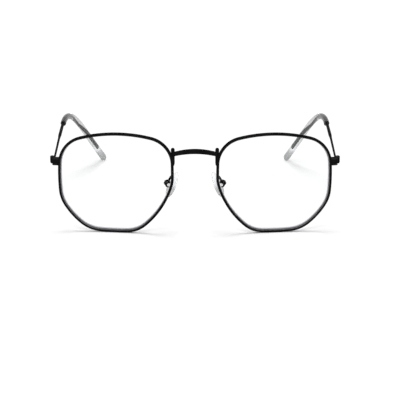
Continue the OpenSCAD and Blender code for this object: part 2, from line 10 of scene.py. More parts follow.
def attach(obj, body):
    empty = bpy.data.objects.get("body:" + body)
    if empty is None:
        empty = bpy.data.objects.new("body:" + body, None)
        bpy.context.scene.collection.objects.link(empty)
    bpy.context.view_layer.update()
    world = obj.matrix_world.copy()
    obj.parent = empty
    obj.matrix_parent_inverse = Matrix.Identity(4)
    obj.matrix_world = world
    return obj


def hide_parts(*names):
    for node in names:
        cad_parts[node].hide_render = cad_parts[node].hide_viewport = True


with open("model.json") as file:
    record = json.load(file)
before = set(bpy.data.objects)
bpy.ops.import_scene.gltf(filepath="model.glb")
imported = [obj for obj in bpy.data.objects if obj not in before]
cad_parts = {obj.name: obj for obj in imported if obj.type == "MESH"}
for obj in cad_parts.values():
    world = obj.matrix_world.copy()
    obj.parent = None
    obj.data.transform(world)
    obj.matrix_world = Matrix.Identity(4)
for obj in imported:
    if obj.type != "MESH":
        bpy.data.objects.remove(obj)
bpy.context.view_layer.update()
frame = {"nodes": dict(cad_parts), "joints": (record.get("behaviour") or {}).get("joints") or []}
nodes = frame["nodes"]
scene = bpy.context.scene

MM = 0.001
SIDES = ("right", "left")


def joint_at(name):
    """Place of a joint, in millimetres."""
    joint = next(j for j in frame["joints"] if j["name"] == name)
    return Vector(joint["pos_m"]) / MM


# Driving sizes in millimetres and degrees, as in the solids
LENS_W, LENS_H, LENS_T, LENS_PLAY = 52.2, 46.9, 1.8, 0.06
RIM_GAP, RIM_T, RIM_D = 19.6, 1.1, 1.8
GROOVE_D, GROOVE_W = 0.45, 1.2
WRAP, TILT = 7.0, 4.0
SLIT, SLIT_DROP = 0.2, 14.5
BRIDGE_DROP, BRIDGE_RISE = 7.6, 1.3
BRIDGE_MID_H, BRIDGE_END_H, BRIDGE_D = 2.5, 2.2, 1.6
POST_DIA, POST_TUCK, POST_SINK = 1.8, 0.1, 0.12
WIRE_INSET, WIRE_START = 0.9, 0.5
RUN, BEND_R, BEND_ANGLE, BEND_ROLL, DROP = 51.5, 58.6, 45.4, 18.4, 38.6
TOE = 1.4
WIRE_DIA, CORE_DIA, STEP_AT, STEP_LEN = 1.0, 1.4, 29.5, 4.0
SLEEVE_LEAD, MOUTH_H, MOUTH_T, MOUTH_ROUND = 0.8, 2.8, 2.7, 0.35
PADDLE_H, PADDLE_T, NOSE_LEN, CLEAR_END = 4.3, 3.3, 1.95, 12.5
PAD_X, PAD_Y, PAD_Z, PAD_LEAN, PAD_SPLAY = 12.7, 7.7, 21.6, 23.5, 20.0
PAD_LEN, PAD_W, PAD_T, PAD_TAPER, PAD_ROOM = 13.0, 7.4, 1.8, 0.12, 0.25
CHEEK_DIA, CHEEK_T, LUG_T, LUG_GAP = 3.1, 0.45, 1.2, 0.1
ARM_DIA, ARM_RISE, ROOT_SHARE, ROOT_SINK = 1.05, 5.4, 0.45, 0.25
FOOT_SINK, FOOT_LEAN, KNEE_LEAD, ANKLE_LEAD = 0.25, 0.3, (0.2, 3.8, 0.2), 1.5
HINGE_AT = joint_at("fold_left")
PAD_AT = joint_at("pad_rock_left")


# Frames that the pieces are drawn in
def turn(axis, degrees):
    """Turn about an axis through the origin."""
    return Matrix.Rotation(math.radians(degrees), 4, axis)


def move(x, y, z):
    """Shift by x, y and z."""
    return Matrix.Translation((x, y, z))


PAD_LEVEL = turn("X", TILT) @ Vector((0, PAD_Y, PAD_Z))
BACK_SHIFT = PAD_AT.y - PAD_LEVEL.y
FRONT = move(0, BACK_SHIFT, PAD_AT.z - PAD_LEVEL.z) @ turn("X", TILT)
AT_RIM = FRONT @ move(RIM_GAP / 2, 0, 0) @ turn("Z", WRAP) @ move(RIM_T, 0, 0)
AT_PAD = FRONT @ move(PAD_X, PAD_Y, PAD_Z) @ turn("Y", -PAD_LEAN) @ turn("Z", -PAD_SPLAY)
MIRROR = Matrix.Scale(-1, 4, (1, 0, 0))


# Mesh tools
def circle(count):
    """Evenly spaced angles round a full turn."""
    return [2 * math.pi * k / count for k in range(count)]


def outward(mesh):
    """Turns every face outwards."""
    bm = bmesh.new()
    bm.from_mesh(mesh)
    bmesh.ops.recalc_face_normals(bm, faces=bm.faces)
    bm.to_mesh(mesh)
    bm.free()


def skin(name, rings, place, side, sharp=35, marks=None):
    """A closed tube over rings of points in millimetres. Side "right" mirrors it. marks gives the
    material of the faces behind a ring, by the ring's number."""
    place = MIRROR @ place if side == "right" else place
    count = len(rings[0])
    verts = [tuple(place @ Vector(p) * MM) for ring in rings for p in ring]
    faces, stuff = [], []
    for i in range(len(rings) - 1):
        for k in range(count):
            m = (k + 1) % count
            faces.append((i * count + k, i * count + m, (i + 1) * count + m, (i + 1) * count + k))
            stuff.append((marks or {}).get(i, 0))
    faces.append(tuple(reversed(range(count))))
    faces.append(tuple(range(len(verts) - count, len(verts))))
    stuff += [0, (marks or {}).get(len(rings) - 1, 0)]
    mesh = bpy.data.meshes.new(name)
    mesh.from_pydata(verts, [], faces)
    mesh.validate()
    for poly, mark in zip(mesh.polygons, stuff):
        poly.use_smooth = True
        poly.material_index = mark
    outward(mesh)
    mesh.set_sharp_from_angle(angle=math.radians(sharp))
    ob = bpy.data.objects.new(name, mesh)
    scene.collection.objects.link(ob)
    return ob


def dress(ob, body, slot, mats, *replaced):
    """Gives a piece its materials and its body, and hides the imported nodes that it stands for."""
    for m in mats:
        ob.data.materials.append(m)
    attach(ob, body)
    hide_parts(*replaced)
    return ob


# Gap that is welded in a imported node, in millimetres, and how its edges are rounded: the steps, and the
# least angle of an edge in degrees
WELD_GAP, ROUND_STEPS, ROUND_OVER = 0.002, 3, 32


def soften(name, width, material):
    """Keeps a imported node, with its edges rounded and a material of its own."""
    ob = nodes[name]
    ob.data.materials.clear()
    ob.data.materials.append(material)
    weld = ob.modifiers.new("weld", "WELD")
    weld.merge_threshold = WELD_GAP * MM
    if width:
        bevel = ob.modifiers.new("round", "BEVEL")
        bevel.width = width * MM
        bevel.segments = ROUND_STEPS
        bevel.limit_method = "ANGLE"
        bevel.angle_limit = math.radians(ROUND_OVER)
        bevel.harden_normals = True
        bevel.use_clamp_overlap = True


# Lens outline: corners, bows of the sides and rounding radii in millimetres, before it is stretched to the
# lens's width and height
CORNERS = [(16.5, 0.5), (38, 0.5), (51.5, 15.5), (51, 41), (0.5, 42.5), (0, 25)]
BOWS = [0.5, 1.5, 0.8, 4.9, 0.2, 2.7]
ROUNDS = [13, 15, 15, 13, 12, 13]
ARC_STEPS = 20


def bow_circle(a, b, bow):
    """Circle of a side from a to b that bows out to its right, as centre and radius."""
    chord = (b - a).length
    r = (chord * chord / 4 + bow * bow) / (2 * bow)
    along = (b - a) / chord
    out = Vector((along.y, -along.x))
    return (a + b) / 2 - out * (r - bow), r


def circles_meet(c1, r1, c2, r2, near):
    """The meeting point of two circles that lies nearer to a given point."""
    span = (c2 - c1).length
    along = (c2 - c1) / span
    reach = (r1 * r1 - r2 * r2 + span * span) / (2 * span)
    rise = math.sqrt(max(r1 * r1 - reach * reach, 0))
    foot = c1 + along * reach
    side = Vector((-along.y, along.x)) * rise
    return min((foot + side, foot - side), key=lambda p: (p - near).length)


def arc_points(centre, r, start, end):
    """Points of an arc from the direction of start round to that of end, without the last."""
    a, b = math.atan2(start.y, start.x), math.atan2(end.y, end.x)
    sweep = b - a + (2 * math.pi if b < a else 0)
    turns = [a + sweep * i / ARC_STEPS for i in range(ARC_STEPS)]
    return [centre + r * Vector((math.cos(t), math.sin(t))) for t in turns]


def lens_outline():
    """Points of the lens opening and the outward direction at each."""
    pts = [Vector(c) for c in CORNERS]
    n = len(pts)
    sides = [bow_circle(pts[i], pts[(i + 1) % n], BOWS[i]) for i in range(n)]
    heads = [circles_meet(sides[i - 1][0], sides[i - 1][1] - ROUNDS[i], sides[i][0],
                          sides[i][1] - ROUNDS[i], pts[i]) for i in range(n)]
    line = []
    for i in range(n):
        a, b, here, after = sides[i - 1], sides[i], heads[i], heads[(i + 1) % n]
        line += arc_points(here, ROUNDS[i], here - a[0], here - b[0])
        line += arc_points(b[0], b[1], here - b[0], after - b[0])
    low = Vector((min(p.x for p in line), min(p.y for p in line)))
    high = Vector((max(p.x for p in line), max(p.y for p in line)))
    size = high - low
    line = [Vector(((p.x - low.x) * LENS_W / size.x, (p.y - low.y) * LENS_H / size.y)) for p in line]
    out = []
    for i in range(len(line)):
        t = line[(i + 1) % len(line)] - line[i - 1]
        out.append(Vector((t.y, -t.x)).normalized())
    return line, out


LINE, OUT = lens_outline()


def on_line(point, out, section):
    """Points of a section, given as (outwards, depth), at a point of the outline."""
    return [(point.x + s[0] * out.x, s[1], point.y + s[0] * out.y) for s in section]


# Materials
# Values between which the middle of a noise lies
NOISE_LOW, NOISE_HIGH = 0.3, 0.7
# Black lacquer: how much it mirrors, its tones by the noise's value, and its roughness
LACQUER_SHEEN = 0.006
LACQUER_TONES = [(0.30, 0.0045), (0.62, 0.0080), (0.80, 0.0130)]
LACQUER_ROUGH = (0.36, 0.52)
# Roughness of the screws' steel
STEEL_ROUGH = (0.20, 0.36)
# Lens plastic: colour, refraction and the light it lets through
LENS_TONE, LENS_IOR, LENS_THROUGH = (0.985, 0.99, 0.995), 1.15, 0.97
# The lens's ground edge: how much it mirrors, and its roughness
GROUND_SHEEN, GROUND_ROUGH = 0.2, (0.55, 0.8)
# Slants, from face on to edge on, between which a clear plastic darkens, a painted shade for the darker
# surroundings seen through its edges
SLANT_FROM, SLANT_TO = 0.45, 0.85
# Sockets of a mix node set to colours
MIX_A, MIX_B, MIX_OUT = 6, 7, 2
# Faint tints of grey
NEUTRAL, BLUISH, VIOLET, COOL = (1.0, 1.0, 1.0), (1.0, 1.0, 1.06), (1.0, 0.99, 1.04), (1.0, 1.004, 1.012)


def plain(name, **values):
    """A Principled material whose sockets take the given values."""
    m = bpy.data.materials.new(name)
    m.use_nodes = True
    bsdf = m.node_tree.nodes["Principled BSDF"]
    for k, v in values.items():
        bsdf.inputs[k.replace("_", " ")].default_value = v
    return m, m.node_tree, bsdf


def noise(nt, scale, detail, stretch=(1, 1, 1)):
    """Fractal noise over the piece, in cycles a metre."""
    at = nt.nodes.new("ShaderNodeTexCoord")
    mapping = nt.nodes.new("ShaderNodeMapping")
    mapping.inputs["Scale"].default_value = stretch
    nt.links.new(at.outputs["Object"], mapping.inputs["Vector"])
    n = nt.nodes.new("ShaderNodeTexNoise")
    n.inputs["Scale"].default_value = scale
    n.inputs["Detail"].default_value = detail
    nt.links.new(mapping.outputs["Vector"], n.inputs["Vector"])
    return n.outputs["Fac"]


def spread(nt, value, low, high):
    """Maps the middle of a noise to a range."""
    r = nt.nodes.new("ShaderNodeMapRange")
    for k, v in zip(("From Min", "From Max", "To Min", "To Max"), (NOISE_LOW, NOISE_HIGH, low, high)):
        r.inputs[k].default_value = v
    nt.links.new(value, r.inputs["Value"])
    return r.outputs["Result"]


def blend_colours(nt, value, stops):
    """Colour ramp over a value, from stops of (value, colour)."""
    r = nt.nodes.new("ShaderNodeValToRGB")
    els = r.color_ramp.elements
    while len(els) < len(stops):
        els.new(0.5)
    for el, (at, col) in zip(els, stops):
        el.position = at
        el.color = (*col, 1)
    nt.links.new(value, r.inputs["Fac"])
    return r.outputs["Color"]


def grey(value, tint=NEUTRAL):
    """Grey of a given value with a faint tint."""
    return tuple(value * t for t in tint)


def bumpy(nt, bsdf, height, strength, distance):
    """Bump of a given height in millimetres."""
    b = nt.nodes.new("ShaderNodeBump")
    b.inputs["Strength"].default_value = strength
    b.inputs["Distance"].default_value = distance * MM
    nt.links.new(height, b.inputs["Height"])
    nt.links.new(b.outputs["Normal"], bsdf.inputs["Normal"])


def black_lacquer():
    """Satin black lacquer over metal, with a fine orange peel and slightly rubbed patches."""
    m, nt, b = plain("black_lacquer", Specular_IOR_Level=LACQUER_SHEEN)
    stops = [(at, grey(tone, BLUISH)) for at, tone in LACQUER_TONES]
    rubbed = noise(nt, scale=260.0, detail=4.0)
    nt.links.new(blend_colours(nt, rubbed, stops), b.inputs["Base Color"])
    dull = noise(nt, scale=900.0, detail=5.0)
    nt.links.new(spread(nt, dull, *LACQUER_ROUGH), b.inputs["Roughness"])
    bumpy(nt, b, noise(nt, scale=5200.0, detail=2.0), strength=0.16, distance=0.02)
    return m


def steel(name, low, high):
    """Turned steel with fine tool marks."""
    m, nt, b = plain(name, Metallic=1.0)
    stops = [(NOISE_LOW, grey(low)), (NOISE_HIGH, grey(high))]
    nt.links.new(blend_colours(nt, noise(nt, scale=1400.0, detail=4.0), stops), b.inputs["Base Color"])
    nt.links.new(spread(nt, noise(nt, scale=3000.0, detail=3.0), *STEEL_ROUGH), b.inputs["Roughness"])
    marks = noise(nt, scale=9000.0, detail=2.0, stretch=(1, 1, 0.15))
    bumpy(nt, b, marks, strength=0.2, distance=0.02)
    return m


def lamps_through(m, colour):
    """Lets lamp light through a clear material, so that it casts only a faint shadow."""
    nt = m.node_tree
    path = nt.nodes.new("ShaderNodeLightPath")
    both = nt.nodes.new("ShaderNodeMath")
    both.operation = "MAXIMUM"
    nt.links.new(path.outputs["Is Shadow Ray"], both.inputs[0])
    nt.links.new(path.outputs["Is Diffuse Ray"], both.inputs[1])
    see = nt.nodes.new("ShaderNodeBsdfTransparent")
    see.inputs["Color"].default_value = (*colour, 1)
    mix = nt.nodes.new("ShaderNodeMixShader")
    nt.links.new(both.outputs[0], mix.inputs[0])
    nt.links.new(nt.nodes["Principled BSDF"].outputs[0], mix.inputs[1])
    nt.links.new(see.outputs[0], mix.inputs[2])
    nt.links.new(mix.outputs[0], nt.nodes["Material Output"].inputs["Surface"])


def clear_lens():
    """Polished lens plastic with a faint unevenness."""
    m, nt, b = plain("clear_lens", Base_Color=(*LENS_TONE, 1), Roughness=0.0, IOR=LENS_IOR,
                     Transmission_Weight=1.0)
    bumpy(nt, b, noise(nt, scale=40.0, detail=1.0), strength=0.02, distance=0.02)
    lamps_through(m, grey(LENS_THROUGH))
    return m


def ground_edge(name, low, high):
    """The lens's ground edge, frosted and faintly violet."""
    m, nt, b = plain(name, Specular_IOR_Level=GROUND_SHEEN)
    stops = [(NOISE_LOW, grey(low, VIOLET)), (NOISE_HIGH, grey(high, VIOLET))]
    nt.links.new(blend_colours(nt, noise(nt, scale=1800.0, detail=3.0), stops), b.inputs["Base Color"])
    nt.links.new(spread(nt, noise(nt, scale=2600.0, detail=3.0), *GROUND_ROUGH), b.inputs["Roughness"])
    bumpy(nt, b, noise(nt, scale=7000.0, detail=2.0), strength=0.3, distance=0.03)
    return m


def painted_light_by_height(nt, stops):
    """Painted light and shade on a moulded tip by its height over the ground, in millimetres: stops of
    (height, tint).
    """
    reach = stops[-1][0]
    at = nt.nodes.new("ShaderNodeTexCoord")
    parts = nt.nodes.new("ShaderNodeSeparateXYZ")
    nt.links.new(at.outputs["Object"], parts.inputs["Vector"])
    share = nt.nodes.new("ShaderNodeMapRange")
    share.inputs["From Max"].default_value = reach * MM
    nt.links.new(parts.outputs["Z"], share.inputs["Value"])
    return blend_colours(nt, share.outputs["Result"], [(z / reach, grey(tint)) for z, tint in stops])


def clear_plastic(name, middle, edge, haze, rough, ior, wave, through, painted_light=None):
    """Clear moulded plastic or silicone: greyer where the eye looks along its surface, which is painted
    shade for the darker surroundings seen through its edges, faintly hazy, with a slow wave in its surface.
    through is the lamp light that it lets pass, and the last argument paints light and shade by height, as
    stops of (height, tint)."""
    m, nt, b = plain(name, IOR=ior, Transmission_Weight=1 - haze)
    slant = nt.nodes.new("ShaderNodeLayerWeight")
    slant.inputs["Blend"].default_value = 0.5
    stops = [(SLANT_FROM, grey(middle, COOL)), (SLANT_TO, grey(edge, COOL))]
    colour = blend_colours(nt, slant.outputs["Facing"], stops)
    # Painted light and shade by height, multiplied into the colour
    if painted_light:
        both = nt.nodes.new("ShaderNodeMix")
        both.data_type = "RGBA"
        both.blend_type = "MULTIPLY"
        both.inputs["Factor"].default_value = 1.0
        nt.links.new(colour, both.inputs[MIX_A])
        nt.links.new(painted_light_by_height(nt, painted_light), both.inputs[MIX_B])
        colour = both.outputs[MIX_OUT]
    nt.links.new(colour, b.inputs["Base Color"])
    nt.links.new(spread(nt, noise(nt, scale=700.0, detail=4.0), *rough), b.inputs["Roughness"])
    bumpy(nt, b, noise(nt, scale=200.0, detail=2.0), strength=wave, distance=0.05)
    lamps_through(m, grey(through))
    return m


BLACK = black_lacquer()
BRIGHT_STEEL = steel("screw_steel", low=0.60, high=0.85)
DARK_STEEL = steel("screw_black", low=0.008, high=0.03)
LENS = clear_lens()
# Ground edge tones: painted shade makes the strips nearest the rim darkest and the middle one darker; the
# pale one is the edge's own frosted tone
EDGES = [ground_edge("edge_deep_painted_shade", low=0.09, high=0.13), ground_edge("edge_middle_painted_shade", low=0.36, high=0.46),
         ground_edge("edge_pale", low=0.78, high=0.88)]
# Painted light by height: the tip has painted shade at its nose near the ground, a painted highlight just
# past the wire's end, and painted shade again at the bend, where the dark wire shows through; the pad has
# painted shade at its foot
TIP_PAINTED_LIGHT = [(0.0, 0.5), (4.0, 0.60), (7.0, 0.80), (8.4, 1.22), (10.0, 1.1), (12.5, 1.0),
             (33.0, 0.95), (37.0, 0.55), (39.5, 0.3)]
PAD_PAINTED_SHADE = [(16.0, 0.55), (20.5, 0.62), (22.5, 0.95), (28.0, 1.0)]
TIP = clear_plastic("tip_plastic", middle=0.76, edge=0.40, haze=0.13, rough=(0.03, 0.07), ior=1.16,
                    wave=0.03, through=0.75, painted_light=TIP_PAINTED_LIGHT)
PAD = clear_plastic("pad_silicone", middle=0.96, edge=0.45, haze=0.04, rough=(0.02, 0.05), ior=1.1,
                    wave=0.01, through=0.90, painted_light=PAD_PAINTED_SHADE)
CORE = clear_plastic("core_plastic", middle=0.98, edge=0.90, haze=0.02, rough=(0.02, 0.05), ior=1.03,
                     wave=0.01, through=0.95)


# Rims and lenses
# Height of the slit, and the least distance of a station from its middle
SLIT_Z = LENS_H - SLIT_DROP
STATION_GAP = 0.5


def rim_stations():
    """Outline points and directions from above the slit on round to below it."""
    n = len(LINE)
    first = next(i for i in range(n)
                 if LINE[i].y < SLIT_Z <= LINE[(i + 1) % n].y and LINE[i].x > LENS_W / 2)
    a, b = LINE[first], LINE[(first + 1) % n]
    cut = Vector((a.x + (b.x - a.x) * (SLIT_Z - a.y) / (b.y - a.y), SLIT_Z))
    half, out = Vector((0, SLIT / 2)), Vector((1, 0))
    between = [(LINE[k], OUT[k]) for k in ((first + i) % n for i in range(1, n + 1))
               if (LINE[k] - cut).length > STATION_GAP]
    return [(cut + half, out)] + between + [(cut - half, out)]


def make_rim(side):
    """Rim wire with a lens groove whose lips are eased, cut open at its slit."""
    steps, sweep, lip = 20, 107, 0.03
    round_part = [math.radians(sweep * (2 * i / steps - 1)) for i in range(steps + 1)]
    section = [(GROOVE_D, 0), (lip, -GROOVE_W / 2 + lip)]
    section += [(RIM_T / 2 * (1 + math.cos(a)), RIM_D / 2 * math.sin(a)) for a in round_part]
    section.append((lip, GROOVE_W / 2 - lip))
    rings = [on_line(p, o, section) for p, o in rim_stations()]
    ob = skin("rim_wire_" + side, rings, AT_RIM, side, sharp=50)
    dress(ob, "front", "frame_black", [BLACK], "rim_" + side)


def make_lens(side):
    """Flat clear lens: clear faces, a ground bevel in the rim's groove, and a ground chamfer at the rear
    that is wider on the lower and temple sides. Painted shade darkens its ground edge nearest the rim."""
    half, ease, bevel, heel, groove_play = LENS_T / 2, 0.12, 0.36, 0.42, 0.09
    # Width of the chamfer: everywhere, and what the temple side and the lower side add
    least, aside, below = 0.18, 0.5, 0.76
    # Shares of the chamfer at which its strips end
    strips = (0.3, 0.62, 1.0)
    front = [(-LENS_PLAY - ease, -half), (-LENS_PLAY, -half + ease), (-LENS_PLAY, -bevel),
             (GROOVE_D - groove_play, 0.0), (-LENS_PLAY, bevel), (-LENS_PLAY, heel)]
    rings = [[(p.x + x * o.x, y, p.y + x * o.y) for p, o in zip(LINE, OUT)] for x, y in front]
    for share in strips:
        ring = []
        for p, o in zip(LINE, OUT):
            width = LENS_PLAY + share * (least + max(aside * o.x, -below * o.y, 0))
            ring.append((p.x - width * o.x, heel + (half - heel) * share, p.y - width * o.y))
        rings.append(ring)
    # Painted shade: the bevel and the first strip, nearest the rim, are darkest, and the next two strips
    # paler
    marks = {**dict.fromkeys(range(len(front)), 1), 6: 2, 7: 3}
    ob = skin("lens_" + side + "_clear", rings, AT_RIM, side, sharp=20, marks=marks)
    dress(ob, "front", "lens_clear", [LENS, *EDGES], "lens_" + side)


# Bridge
def make_bridge():
    """Arched bar between the posts, a little deeper in the middle, with rounded sides."""
    post_r = POST_DIA / 2
    half = RIM_GAP / 2 + RIM_T / 2 - POST_TUCK - post_r / 2
    y = max(RIM_D, LENS_T) / 2 + post_r - POST_SINK
    top = LENS_H - BRIDGE_DROP
    steps, count, squareness = 56, 28, 0.86
    rings = []
    for i in range(steps + 1):
        share = 2 * i / steps - 1
        half_h = (BRIDGE_END_H + (BRIDGE_MID_H - BRIDGE_END_H) * (1 - share * share)) / 2
        ring = []
        for a in circle(count):
            c, s = (math.copysign(abs(v) ** squareness, v) for v in (math.cos(a), math.sin(a)))
            ring.append((half * share, y + BRIDGE_D / 2 * c, top - BRIDGE_RISE * share * share + half_h * s))
        rings.append(ring)
    ob = skin("bridge_bar", rings, FRONT, "left")
    dress(ob, "front", "frame_black", [BLACK], "bridge")


# Temples
ROLL = math.radians(BEND_ROLL)
BEND_DIR = Vector((-math.sin(ROLL), 0, -math.cos(ROLL)))
SIDE_DIR = Vector((0, 1, 0)).cross(BEND_DIR)
BEND_LEN = BEND_R * math.radians(BEND_ANGLE)
BEND_END = RUN + BEND_LEN
SLEEVE_AT = RUN - SLEEVE_LEAD
SLEEVE_END = BEND_END + DROP
# The drawn wire ends a little sooner than the solid one
DRAWN_SHORT = 1.6
WIRE_LEN = SLEEVE_END + NOSE_LEN - CLEAR_END - DRAWN_SHORT


def bend_at(s):
    """Angle by which the wire has bent at s, a length along it."""
    return math.radians(BEND_ANGLE) * min(max((s - RUN) / BEND_LEN, 0), 1)


def along(s):
    """Direction of the wire at s."""
    a = bend_at(s)
    return Vector((0, math.cos(a), 0)) + math.sin(a) * BEND_DIR


def inner(s):
    """Direction across the wire at s, towards the inside of its bend."""
    a = bend_at(s)
    return Vector((0, -math.sin(a), 0)) + math.cos(a) * BEND_DIR


def wire_at(s):
    """Middle of the wire at s."""
    a = bend_at(s)
    start = Vector((-WIRE_INSET, min(s, RUN), 0))
    return start + BEND_R * (Vector((0, math.sin(a), 0)) + (1 - math.cos(a)) * BEND_DIR) \
        + max(s - BEND_END, 0) * along(s)


def temple_slope():
    """Lean of the temple that sets the sleeve's nose down at z = 0."""
    centre = wire_at(SLEEVE_END)
    low = Vector((PADDLE_H / 2 * inner(SLEEVE_END).z, PADDLE_T / 2 * SIDE_DIR.z,
                  NOSE_LEN * along(SLEEVE_END).z))
    reach = math.hypot(centre.y, centre.z)
    return math.degrees(math.asin((HINGE_AT.z - low.length) / reach) - math.atan2(-centre.z, centre.y))


AT_TEMPLE = Matrix.Translation(HINGE_AT) @ turn("Z", TOE) @ turn("X", -temple_slope())


def temple_ring(s, half_h, half_t, count):
    """Oval ring of points round the wire's middle at s."""
    at, down = wire_at(s), inner(s)
    return [at + half_h * math.cos(a) * down + half_t * math.sin(a) * SIDE_DIR for a in circle(count)]


def lookup(s, table):
    """Value at s in a table of (place, value), straight between its rows."""
    if s <= table[0][0]:
        return table[0][1]
    for (a, va), (b, vb) in zip(table, table[1:]):
        if s <= b:
            return va + (vb - va) * (s - a) / (b - a)
    return table[-1][1]


def stations(*marks):
    """Places from the first mark on, each with the gap that follows it: place, gap, place, gap, place."""
    places = [marks[0]]
    for a, gap, b in zip(marks[::2], marks[1::2], marks[2::2]):
        n = max(math.ceil((b - a) / gap), 1)
        places += [a + (b - a) * i / n for i in range(1, n + 1)]
    return places


# The wire is drawn a little thicker than it is, as thin dark lines lose width in a picture
DRAWN = 1.1
# Where that starts past the hinge, and how far past the run the wire in the sleeve stays round
NEAR_HINGE, ROUND_LEN = 7.0, 19.0
# Height, thickness and sideways place of the wire along the temple; the places past the run count from it
WIRE_HEAD = [(NEAR_HINGE, WIRE_DIA), (STEP_AT, DRAWN * WIRE_DIA), (STEP_AT + STEP_LEN, DRAWN * CORE_DIA),
             (RUN + ROUND_LEN, CORE_DIA)]
CORE_H = WIRE_HEAD + [(RUN + 24, 0.45), (RUN + 30, 0.45), (RUN + 38, 0.75), (RUN + 50, 1.6),
                      (RUN + 60, 1.8)]
CORE_T = WIRE_HEAD + [(RUN + 24, 0.3), (RUN + 30, 0.3), (RUN + 38, 0.4), (RUN + 50, 0.9),
                      (RUN + 62, 1.2)]
CORE_ASIDE = [(NEAR_HINGE, 0.0), (STEP_AT, -0.25), (RUN, -0.2), (RUN + ROUND_LEN, 0.0), (RUN + 30, -0.35),
              (RUN + 42, -0.5), (RUN + 56, 0.3), (RUN + 66, 0.4)]


def wire_ring(s, share, count):
    """Ring of the wire at a given share of its full size."""
    ring = temple_ring(s, share * lookup(s, CORE_H) / 2, share * lookup(s, CORE_T) / 2, count)
    return [p + lookup(s, CORE_ASIDE) * SIDE_DIR for p in ring]


def make_wire(side):
    """Temple wire: thicker behind its step, flattened inside the sleeve below the bend, where it leaves
    the sleeve's middle a little, with a rounded rear end."""
    count, dome, dome_steps, dome_least = 20, 0.3, (30, 60, 88), 0.6
    places = stations(WIRE_START, 4, NEAR_HINGE, 4, STEP_AT, 0.8, STEP_AT + STEP_LEN, 4, RUN,
                      1.2, BEND_END, 1.5, WIRE_LEN - dome)
    rings = [wire_ring(s, 1, count) for s in places]
    for a in (math.radians(v) for v in dome_steps):
        share = dome_least + (1 - dome_least) * math.cos(a)
        rings.append(wire_ring(WIRE_LEN - dome + dome * math.sin(a), share, count))
    ob = skin("temple_rod_" + side, rings, AT_TEMPLE, side, sharp=50)
    dress(ob, "temple_" + side, "frame_black", [BLACK], "temple_wire_" + side)


def tip_size(s):
    """Half height and half thickness of the sleeve at s, straight from its mouth to its rear end."""
    return (lookup(s, [(SLEEVE_AT, MOUTH_H / 2), (SLEEVE_END, PADDLE_H / 2)]),
            lookup(s, [(SLEEVE_AT, MOUTH_T / 2), (SLEEVE_END, PADDLE_T / 2)]))


def make_tip(side):
    """Clear sleeve moulded over the wire's rear, with a rounded mouth and a rounded nose."""
    count, mouth_steps, nose_steps, nose_turn = 40, (0, 20, 42, 65, 85), 12, 88
    # Places inside the mouth, past its rim, and the radius at each
    throat = [(0.5, CORE_DIA / 2 * 0.8), (0.2, CORE_DIA / 2 * 0.92), (0.02, CORE_DIA / 2 + 0.16)]
    rings = [temple_ring(SLEEVE_AT + lead, r, r, count) for lead, r in throat]
    for a in (math.radians(v) for v in mouth_steps):
        drawn_in = MOUTH_ROUND * (1 - math.sin(a))
        rings.append(temple_ring(SLEEVE_AT + MOUTH_ROUND * (1 - math.cos(a)), MOUTH_H / 2 - drawn_in,
                                 MOUTH_T / 2 - drawn_in, count))
    places = stations(SLEEVE_AT + MOUTH_ROUND, 2, RUN, 1.0, BEND_END, 2, SLEEVE_END)
    rings += [temple_ring(s, *tip_size(s), count) for s in places]
    for a in (math.radians(nose_turn * i / nose_steps) for i in range(1, nose_steps + 1)):
        rings.append(temple_ring(SLEEVE_END + NOSE_LEN * math.sin(a), PADDLE_H / 2 * math.cos(a),
                                 PADDLE_T / 2 * math.cos(a), count))
    ob = skin("tip_sleeve_" + side, rings, AT_TEMPLE, side, sharp=60)
    dress(ob, "temple_" + side, "tip_clear", [TIP], "temple_tip_" + side)


# Nose pads and their arms
def make_pad(side):
    """Soft clear pad: a flat oval back, and a crowned face that is broader at its foot."""
    crown_from, crown, crown_steps, count = 0.4, 0.16, 12, 64
    # Shares of the pad's depth, and of its width at each
    profile = [(0.0, 0.82), (0.03, 0.90), (0.12, 0.965)]
    for i in range(crown_steps + 1):
        a = math.pi / 2 * i / crown_steps
        profile.append((crown_from + (1 - crown_from) * math.sin(a), crown + (1 - crown) * math.cos(a)))
    face = -(CHEEK_DIA / 2 + PAD_ROOM)
    rings = [[(face - PAD_T * depth,
               PAD_W / 2 * share * math.cos(a) * (1 - PAD_TAPER * math.sin(a)),
               PAD_LEN / 2 * share * math.sin(a)) for a in circle(count)] for depth, share in profile]
    ob = skin("pad_" + side + "_silicone", rings, AT_PAD, side, sharp=50)
    dress(ob, "pad_" + side, "pad_silicone", [PAD], "nose_pad_" + side)


def make_arm(side):
    """Round wire that leads back from the rim and curves down to the rear cheek of the pad's box."""
    to_front = FRONT.inverted() @ AT_PAD
    cheek_y = LUG_T / 2 + LUG_GAP + CHEEK_T / 2
    root = Vector((RIM_GAP / 2 + RIM_T * ROOT_SHARE, RIM_D / 2 - ROOT_SINK, PAD_Z + ARM_RISE))
    knee = root + Vector(KNEE_LEAD)
    ankle = to_front @ Vector((-FOOT_LEAN, cheek_y, CHEEK_DIA / 2 + ANKLE_LEAD))
    foot = to_front @ Vector((-FOOT_LEAN, cheek_y, CHEEK_DIA / 2 - FOOT_SINK))
    steps, count = 36, 20
    rings = []
    for t in (i / steps for i in range(steps + 1)):
        u = 1 - t
        at = u ** 3 * root + 3 * t * u * u * knee + 3 * t * t * u * ankle + t ** 3 * foot
        way = (u * u * (knee - root) + 2 * t * u * (ankle - knee) + t * t * (foot - ankle)).normalized()
        flat = way.cross(Vector((1, 0, 0))).normalized()
        up = flat.cross(way)
        rings.append([at + ARM_DIA / 2 * (math.cos(a) * flat + math.sin(a) * up) for a in circle(count)])
    ob = skin("pad_arm_" + side + "_wire", rings, FRONT, side, sharp=50)
    dress(ob, "front", "frame_black", [BLACK], "pad_arm_" + side)


